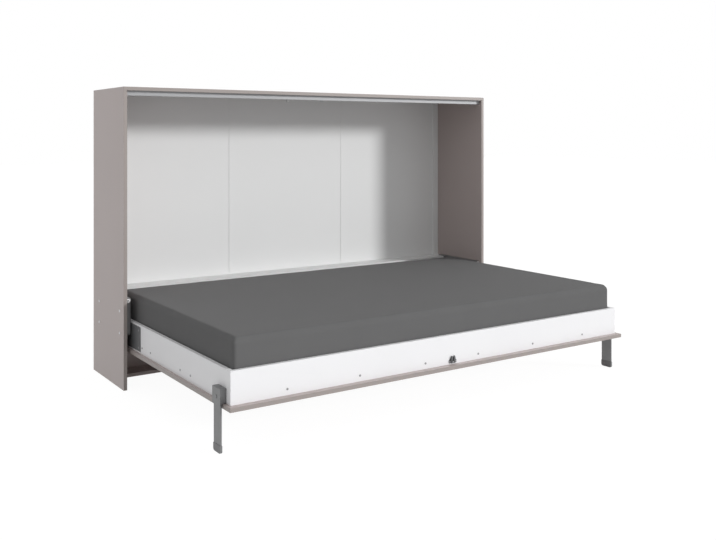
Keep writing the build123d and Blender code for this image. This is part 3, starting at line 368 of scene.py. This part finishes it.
# %% Light grey sheets and boards
PALE_GREY = (0.725, 0.730, 0.730)
FIBRE_FACE = 0.7015
FIBRE_BROWN = (0.300, 0.190, 0.110)


def grey_sheet(name, brown_behind):
    material, nodes = new_material(name)
    place = on_piece(nodes)
    x, y, z = nodes.split(place)
    fine = noise(nodes, place, 0.0007)
    cloud = noise(nodes, place, 0.35)
    front = shades(nodes, fine * 0.5 + cloud * 0.5, PALE_GREY, 0.03)
    fibre = noise(nodes, place, 0.0016, (1.5, 1.0, 1.5), 5.0)
    if brown_behind:
        behind = y > FIBRE_FACE
        back = shades(nodes, nodes.ramp(fibre, 0.3, 0.7), FIBRE_BROWN, 0.35)
    else:
        behind = y > WALL_SIDE
        back = chips(nodes, place)[0]
    skin(
        nodes,
        Base_Color=nodes.mix(behind, front, back),
        Roughness=fine * 0.1 + behind * 0.25 + 0.48,
        Normal=relief(nodes, fine + fibre * behind * 2.0, 0.00005, 0.0 if brown_behind else BAND_RADIUS),
    )
    return material


grey_hardboard = grey_sheet("grey_hardboard", True)
grey_board = grey_sheet("grey_board", False)
print("light grey", PALE_GREY)

# %% [markdown]
# ## Plain wood
#
# The slats, their battens and the dowels are sawn softwood. Its grain is a set of long thin stripes, and
# noise drawn out thirty times along the board gives them. The slats run across the bed and the battens
# along it, so the function takes the direction in which the wood grew.

# %% Wood
GRAIN_WIDTH = 0.0035
GRAIN_DRAW = 30.0
WOOD = (0.600, 0.440, 0.270)


def wood(name, grain_along):
    material, nodes = new_material(name)
    place = on_piece(nodes)
    stretch = [GRAIN_DRAW if axis == grain_along else 1.0 for axis in "xyz"]
    wide_stretch = [part * 0.5 for part in stretch]
    stripe = nodes.ramp(noise(nodes, place, GRAIN_WIDTH, stretch, 3.0), 0.35, 0.65)
    fibre = noise(nodes, place, GRAIN_WIDTH * 0.15, stretch, 2.0)
    board_to_board = noise(nodes, place, 0.09, wide_stretch, 0.0)
    tone = stripe * 0.45 + fibre * 0.2 + board_to_board * 0.35
    skin(
        nodes,
        Base_Color=shades(nodes, tone, WOOD, 0.26),
        Roughness=stripe * -0.1 + 0.68,
        Normal=relief(nodes, stripe * 0.5 + fibre * 0.5, 0.00012, 0.0008),
    )
    return material


wood_across = wood("wood_across", "y")
wood_along = wood("wood_along", "x")
print("grain", GRAIN_WIDTH * 1000, "mm wide")

# %% [markdown]
# ## Coated and plated metal
#
# Five metal finishes are on the bed. The legs, their brackets and the hinge housings are satin grey steel
# with fine upright lines from drawing. The plates and levers of the hinges are coated dark grey, and so is
# the catch. Pins and rods are zinc plated, and the screws in the bed have a duller zinc. The rail under the
# top is aluminium with lines along it. One function makes them all from two noises: long thin lines, and
# the faint pebbling of a coat.

# %% Metal
def metal(name, base, metallic, roughness, lines_along="z", line_share=0.5, spread=0.1):
    material, nodes = new_material(name)
    place = on_piece(nodes)
    stretch = [90.0 if axis == lines_along else 1.0 for axis in "xyz"]
    lines = noise(nodes, place, 0.0007, stretch, 3.0)
    pebbles = noise(nodes, place, 0.0012)
    cloud = noise(nodes, place, 0.03)
    grain = lines * line_share + pebbles * (1.0 - line_share)
    skin(
        nodes,
        Base_Color=shades(nodes, grain * 0.6 + cloud * 0.4, base, spread),
        Metallic=metallic,
        Roughness=grain * 0.2 + (roughness - 0.1),
        Normal=relief(nodes, grain, 0.00003, 0.0004),
    )
    return material


satin_steel = metal("satin_steel", (0.208, 0.210, 0.213), 0.7, 0.46, "z", 0.8, 0.22)
dark_coat = metal("dark_coat", (0.105, 0.107, 0.112), 0.0, 0.45, "z", 0.1, 0.10)
zinc = metal("zinc", (0.560, 0.565, 0.575), 1.0, 0.34, "z", 0.2, 0.12)
zinc_dull = metal("zinc_dull", (0.300, 0.302, 0.308), 0.6, 0.45, "z", 0.2, 0.12)
aluminium_grey = (0.335, 0.340, 0.350)
brushed_aluminium = metal("brushed_aluminium", aluminium_grey, 0.25, 0.50, "x", 0.9, 0.08)
print("five metal finishes")

# %% [markdown]
# The springs are wound wire, but at their size a smooth cylinder with ridges across it looks the same
# from every side. The ridges follow the spring's length, which runs from front to back. They are a sine
# of the place along it, two millimetres from turn to turn. The same sine also paints shade into the
# grooves between turns and a highlight on their crests, in the colour.

# %% Spring wire
TURN_PITCH = 0.002


def spring_wire(name):
    material, nodes = new_material(name)
    x, y, z = nodes.split(on_piece(nodes))
    turn = (y * (2.0 * math.pi / TURN_PITCH)).maths("SINE") * 0.5 + 0.5
    skin(
        nodes,
        # painted shade and highlight: the colour is darker in the grooves between turns and lighter on the
        # crests
        Base_Color=shades(nodes, turn, (0.50, 0.50, 0.51), 0.35),
        Metallic=1.0,
        Roughness=turn * -0.15 + 0.42,
        Normal=relief(nodes, turn, 0.0006),
    )
    return material


spring_finish = spring_wire("spring_wire")
print("spring turns every", TURN_PITCH * 1000, "mm")

# %% [markdown]
# ## Moulded plastic
#
# The shoes under the legs, the bushes, the caps and the joint strips are moulded. Moulds are etched, so
# that the plastic has a fine even grain, which keeps it from looking wet. Only the colour differs.

# %% Plastic
def plastic(name, base, roughness=0.5):
    material, nodes = new_material(name)
    place = on_piece(nodes)
    etch = noise(nodes, place, 0.0006, detail=3.0)
    flow = noise(nodes, place, 0.02)
    skin(
        nodes,
        Base_Color=shades(nodes, etch * 0.5 + flow * 0.5, base, 0.06),
        Roughness=etch * 0.14 + (roughness - 0.07),
        Normal=relief(nodes, etch, 0.00004, 0.0004),
    )
    return material


white_plastic = plastic("white_plastic", (0.83, 0.83, 0.83))
black_plastic = plastic("black_plastic", (0.055, 0.055, 0.058))
grey_plastic = plastic("grey_plastic", (0.190, 0.190, 0.195))
pale_plastic = plastic("pale_plastic", (0.720, 0.725, 0.725))
taupe_plastic = plastic("taupe_plastic", (0.410, 0.352, 0.342))
print("five plastics")

# %% [markdown]
# ## Each part takes its finish
#
# The CAD model says which material slot each part has. A table from slot to finish covers most parts,
# and a few parts that share a slot but look different are named one by one.

# %% Finishes on the CAD parts
FINISH_OF_SLOT = {
    "taupe_board": taupe_foil,
    "white_board": white_foil,
    "light_sheet": grey_board,
    "raw_wood": wood_along,
    "grey_steel": satin_steel,
    "dark_steel": dark_coat,
    "zinc_steel": zinc,
    "aluminium": brushed_aluminium,
    "white_plastic": white_plastic,
    "pale_plastic": pale_plastic,
    "grey_plastic": grey_plastic,
    "black_plastic": black_plastic,
    "taupe_plastic": taupe_plastic,
}
FINISH_OF_PART = {
    "back_panel_left": grey_hardboard,
    "back_panel_middle": grey_hardboard,
    "back_panel_right": grey_hardboard,
    "slats": wood_across,
    "base_board": base_foil,
    "bed_screws": zinc_dull,
    "left_spring_pack": spring_finish,
    "right_spring_pack": spring_finish,
}

dressed = 0
for name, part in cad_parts.items():
    cad_slot = part.material_slots[0].material.name.split(".")[0]
    finish = FINISH_OF_PART.get(name, FINISH_OF_SLOT.get(cad_slot))
    if finish:
        part.material_slots[0].link = "OBJECT"
        part.material_slots[0].material = finish
        dressed += 1
print("parts with a finish:", dressed)

# %% [markdown]
# ## The mattress
#
# The mattress is a slab of foam in a dark grey knitted cover, 2 m by 1.2 m. Foam pushes its cover out a
# little, most in the middle of each face, and the cover pulls the edges round. Moving points by hand
# could fake that, but a cloth simulation with air pressure inside does what the foam does. A cloth needs
# an even mesh, so the slab is built as a box of equal cells, with its outer cells wrapped round the edge.

# %% Slab with round edges
MATTRESS_LOW, MATTRESS_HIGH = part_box("mattress")
INSET_SIDES = 0.0015
INSET_TOP = 0.0040
EDGE_ROUND = 0.022
EDGE_STEPS = 3
CELL = 0.016
CORNER_POWER = 4.0


def lines(low, high):
    """Where the grid lines lie from low to high: close over the round edges, then a cell apart."""
    edge = EDGE_ROUND * (1.0 - np.tan(np.linspace(math.pi / 4.0, 0.0, EDGE_STEPS + 1)))[:-1]
    cells = round((high - low - 2.0 * EDGE_ROUND) / CELL)
    flat = np.linspace(low + EDGE_ROUND, high - EDGE_ROUND, cells + 1)
    return np.concatenate([low + edge, flat, high - edge[::-1]])


def box_faces(counts):
    """The corners of every cell on the outside of a box that has these many lines each way."""
    for axis in range(3):
        first, second = (axis + 1) % 3, (axis + 2) % 3
        for end in (0, counts[axis] - 1):
            for a in range(counts[first] - 1):
                for b in range(counts[second] - 1):
                    ring = [(a, b), (a + 1, b), (a + 1, b + 1), (a, b + 1)]
                    if end == 0:
                        ring.reverse()
                    corners = []
                    for along, up in ring:
                        corner = [0, 0, 0]
                        corner[axis], corner[first], corner[second] = end, along, up
                        corners.append(tuple(corner))
                    yield corners


def rounded(points, low, high):
    """Pulls the outer points of a box in to round edges. Its upright edges stay tighter."""
    inner = np.clip(points, low + EDGE_ROUND, high - EDGE_ROUND)
    beyond = (points - inner) / EDGE_ROUND
    in_plan = (np.abs(beyond[:, :2]) ** CORNER_POWER).sum(axis=1) ** (1.0 / CORNER_POWER)
    reach = np.sqrt(in_plan ** 2 + beyond[:, 2] ** 2)
    return inner + EDGE_ROUND * beyond / np.maximum(reach, 1e-6)[:, None]


def slab(low, high):
    grid = [lines(low[axis], high[axis]) for axis in range(3)]
    number = {}
    faces = []
    for corners in box_faces([len(line) for line in grid]):
        faces.append([number.setdefault(corner, len(number)) for corner in corners])
    points = np.array([[grid[axis][corner[axis]] for axis in range(3)] for corner in number])
    mesh = bpy.data.meshes.new("slab")
    mesh.from_pydata(rounded(points, np.array(low), np.array(high)).tolist(), [], faces)
    return mesh


slab_low = MATTRESS_LOW + Vector((INSET_SIDES, INSET_SIDES, 0.0))
slab_high = MATTRESS_HIGH - Vector((INSET_SIDES, INSET_SIDES, INSET_TOP))
mattress = bpy.data.objects.new("foam_mattress", slab(slab_low, slab_high))
bpy.context.scene.collection.objects.link(mattress)
slab_size = [round(part, 3) for part in MATTRESS_HIGH - MATTRESS_LOW]
print("slab:", slab_size, "m,", len(mattress.data.polygons), "faces")

# %% [markdown]
# The frame boards stand a few millimetres from the slab and reach up beside it, and the slats are under
# it. So the swelling is limited: a few millimetres on top, little at the sides, and none downward.

# %% Swell the slab
SWELL_FRAMES = 20
SWELL_PRESSURE = 4.0
MOST_SIDEWAYS = 0.0014
MOST_BESIDE_BOARDS = 0.0008
BOARD_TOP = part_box("frame_front_board")[1].z


def points_of(mesh):
    flat = np.empty(len(mesh.vertices) * 3)
    mesh.vertices.foreach_get("co", flat)
    return flat.reshape(-1, 3)


def keep_shape(piece):
    """Makes what the modifiers show the piece's own mesh, and takes them off."""
    ready = piece.evaluated_get(bpy.context.evaluated_depsgraph_get())
    mesh = bpy.data.meshes.new_from_object(ready)
    piece.modifiers.clear()
    piece.data = mesh


def swell(piece):
    start = points_of(piece.data)
    cloth = piece.modifiers.new("cover", "CLOTH")
    cloth.settings.use_pressure = True
    cloth.settings.uniform_pressure_force = SWELL_PRESSURE
    cloth.settings.effector_weights.gravity = 0.0
    cloth.settings.quality = 5
    cloth.point_cache.frame_start = 1
    cloth.point_cache.frame_end = SWELL_FRAMES
    for number in range(1, SWELL_FRAMES + 1):
        bpy.context.scene.frame_set(number)
    keep_shape(piece)
    bpy.context.scene.frame_set(1)
    move = points_of(piece.data) - start
    beside = start[:, 2] < BOARD_TOP + 0.006
    sideways = np.where(beside, MOST_BESIDE_BOARDS, MOST_SIDEWAYS)[:, None]
    move[:, :2] = np.clip(move[:, :2], -sideways, sideways)
    move[:, 2] = np.clip(move[:, 2], 0.0, INSET_TOP)
    piece.data.vertices.foreach_set("co", (start + move).ravel())
    return move


moved = swell(mattress)
print("the cover moved up", (moved[:, 2].mean() * 1000).round(1), "mm on average")
mattress.modifiers.new("finer", "SUBSURF").levels = 1
keep_shape(mattress)
mattress.data.polygons.foreach_set("use_smooth", [True] * len(mattress.data.polygons))
print("mattress faces:", len(mattress.data.polygons))

# %% [markdown]
# The cover is a fine knit. Each face needs its own pair of directions for the stitches, or they would
# smear on the sides. The face's normal says which pair: the top takes x and y, the ends take y and z,
# and the long sides take x and z. Two sines across each other make the little loops.

# %% Knit
STITCH = 0.0016
TICKING = (0.129, 0.129, 0.130)


def knit(name):
    material, nodes = new_material(name)
    place = on_piece(nodes)
    x, y, z = nodes.split(place)
    facing = nodes.split(nodes.add("ShaderNodeTexCoord", out="Normal"))
    to_end = facing[0].maths("ABSOLUTE") > 0.7
    to_top = facing[2].maths("ABSOLUTE") > 0.7
    across = x * (1 - to_end) + y * to_end
    up = z * (1 - to_top) + y * to_top
    wave = 2.0 * math.pi / STITCH
    rib = (across * wave).maths("SINE")
    loop = (up * (wave * 0.7) + rib * 0.9).maths("SINE")
    stitch = rib * 0.25 + loop * 0.25 + 0.5
    fuzz = noise(nodes, place, 0.0011, detail=3.0)
    cloud = noise(nodes, place, 0.12)
    skin(
        nodes,
        Base_Color=shades(nodes, stitch * 0.35 + fuzz * 0.4 + cloud * 0.25, TICKING, 0.14),
        Roughness=fuzz * 0.1 + 0.82,
        Normal=relief(nodes, stitch * 0.7 + fuzz * 0.3, 0.00025),
        Specular_IOR_Level=0.1,
        Sheen_Weight=0.05,
        Sheen_Roughness=0.5,
    )
    return material


mattress.data.materials.clear()
mattress.data.materials.append(knit("grey_knit"))
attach(mattress, "bed")
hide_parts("mattress")
print("stitches every", STITCH * 1000, "mm")

# %% [markdown]
# ## Slat tapes
#
# Two woven tapes are stapled along the slats and keep them evenly apart. A tape is flat cloth under a
# little tension, so it lies on each slat and dips between them. A block would stand off straight over
# the gaps, so each tape is built as a thin strip with one row of points at each place where it bends.

# %% Tapes over the slats
TAPE_LOW, TAPE_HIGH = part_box("slat_straps")
TAPE_WIDTH = 0.020
TAPE_SHEET = 0.0008
TAPE_DIP = 0.0025
GAP_STEPS = 6
TAPE_COLOUR = (0.66, 0.65, 0.61)
WARP_PITCH = 0.0016
WEFT_PITCH = 0.0022

slat_edges = sorted({round(vertex.co.x, 4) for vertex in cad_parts["slats"].data.vertices})
slat_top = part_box("slats")[1].z


def tape_path():
    """The places along a tape, and how far it has dipped at each."""
    path = [(TAPE_LOW.x, 0.0)]
    for gap_low, gap_high in zip(slat_edges[1:-1:2], slat_edges[2::2]):
        for step in range(GAP_STEPS + 1):
            share = step / GAP_STEPS
            dip = TAPE_DIP * math.sin(math.pi * share) ** 2
            path.append((gap_low + share * (gap_high - gap_low), dip))
    path.append((TAPE_HIGH.x, 0.0))
    return path


def strip(path, middle):
    """A thin strip along the path, as points and faces."""
    points = []
    for x, dip in path:
        for side, up in ((-1, 0), (1, 0), (1, 1), (-1, 1)):
            points.append((x, middle + side * TAPE_WIDTH / 2, slat_top + up * TAPE_SHEET - dip))
    faces = [(3, 2, 1, 0), tuple(len(points) - 4 + corner for corner in range(4))]
    for row in range(len(path) - 1):
        for corner in range(4):
            here, there = 4 * row + corner, 4 * row + (corner + 1) % 4
            faces.append((here, there, there + 4, here + 4))
    return points, faces


def webbing(name):
    material, nodes = new_material(name)
    place = on_piece(nodes)
    x, y, z = nodes.split(place)
    warp = (y * (2.0 * math.pi / WARP_PITCH)).maths("SINE")
    weft = (x * (2.0 * math.pi / WEFT_PITCH)).maths("SINE")
    weave = warp * weft * 0.5 + 0.5
    fuzz = noise(nodes, place, 0.0009, detail=3.0)
    skin(
        nodes,
        Base_Color=shades(nodes, weave * 0.6 + fuzz * 0.4, TAPE_COLOUR, 0.16),
        Roughness=fuzz * 0.1 + 0.8,
        Normal=relief(nodes, weave, 0.0003),
    )
    return material


tape_points = []
tape_faces = []
for middle in (TAPE_LOW.y + TAPE_WIDTH / 2, TAPE_HIGH.y - TAPE_WIDTH / 2):
    points, faces = strip(tape_path(), middle)
    tape_faces += [tuple(corner + len(tape_points) for corner in face) for face in faces]
    tape_points += points
tape_mesh = bpy.data.meshes.new("slat_tapes")
tape_mesh.from_pydata(tape_points, [], tape_faces)
tape_mesh.materials.append(webbing("webbing"))
tapes = bpy.data.objects.new("slat_tapes", tape_mesh)
bpy.context.scene.collection.objects.link(tapes)
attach(tapes, "bed")
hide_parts("slat_straps")
print("tapes over", len(slat_edges) // 2, "slats, with", len(tape_faces), "faces")
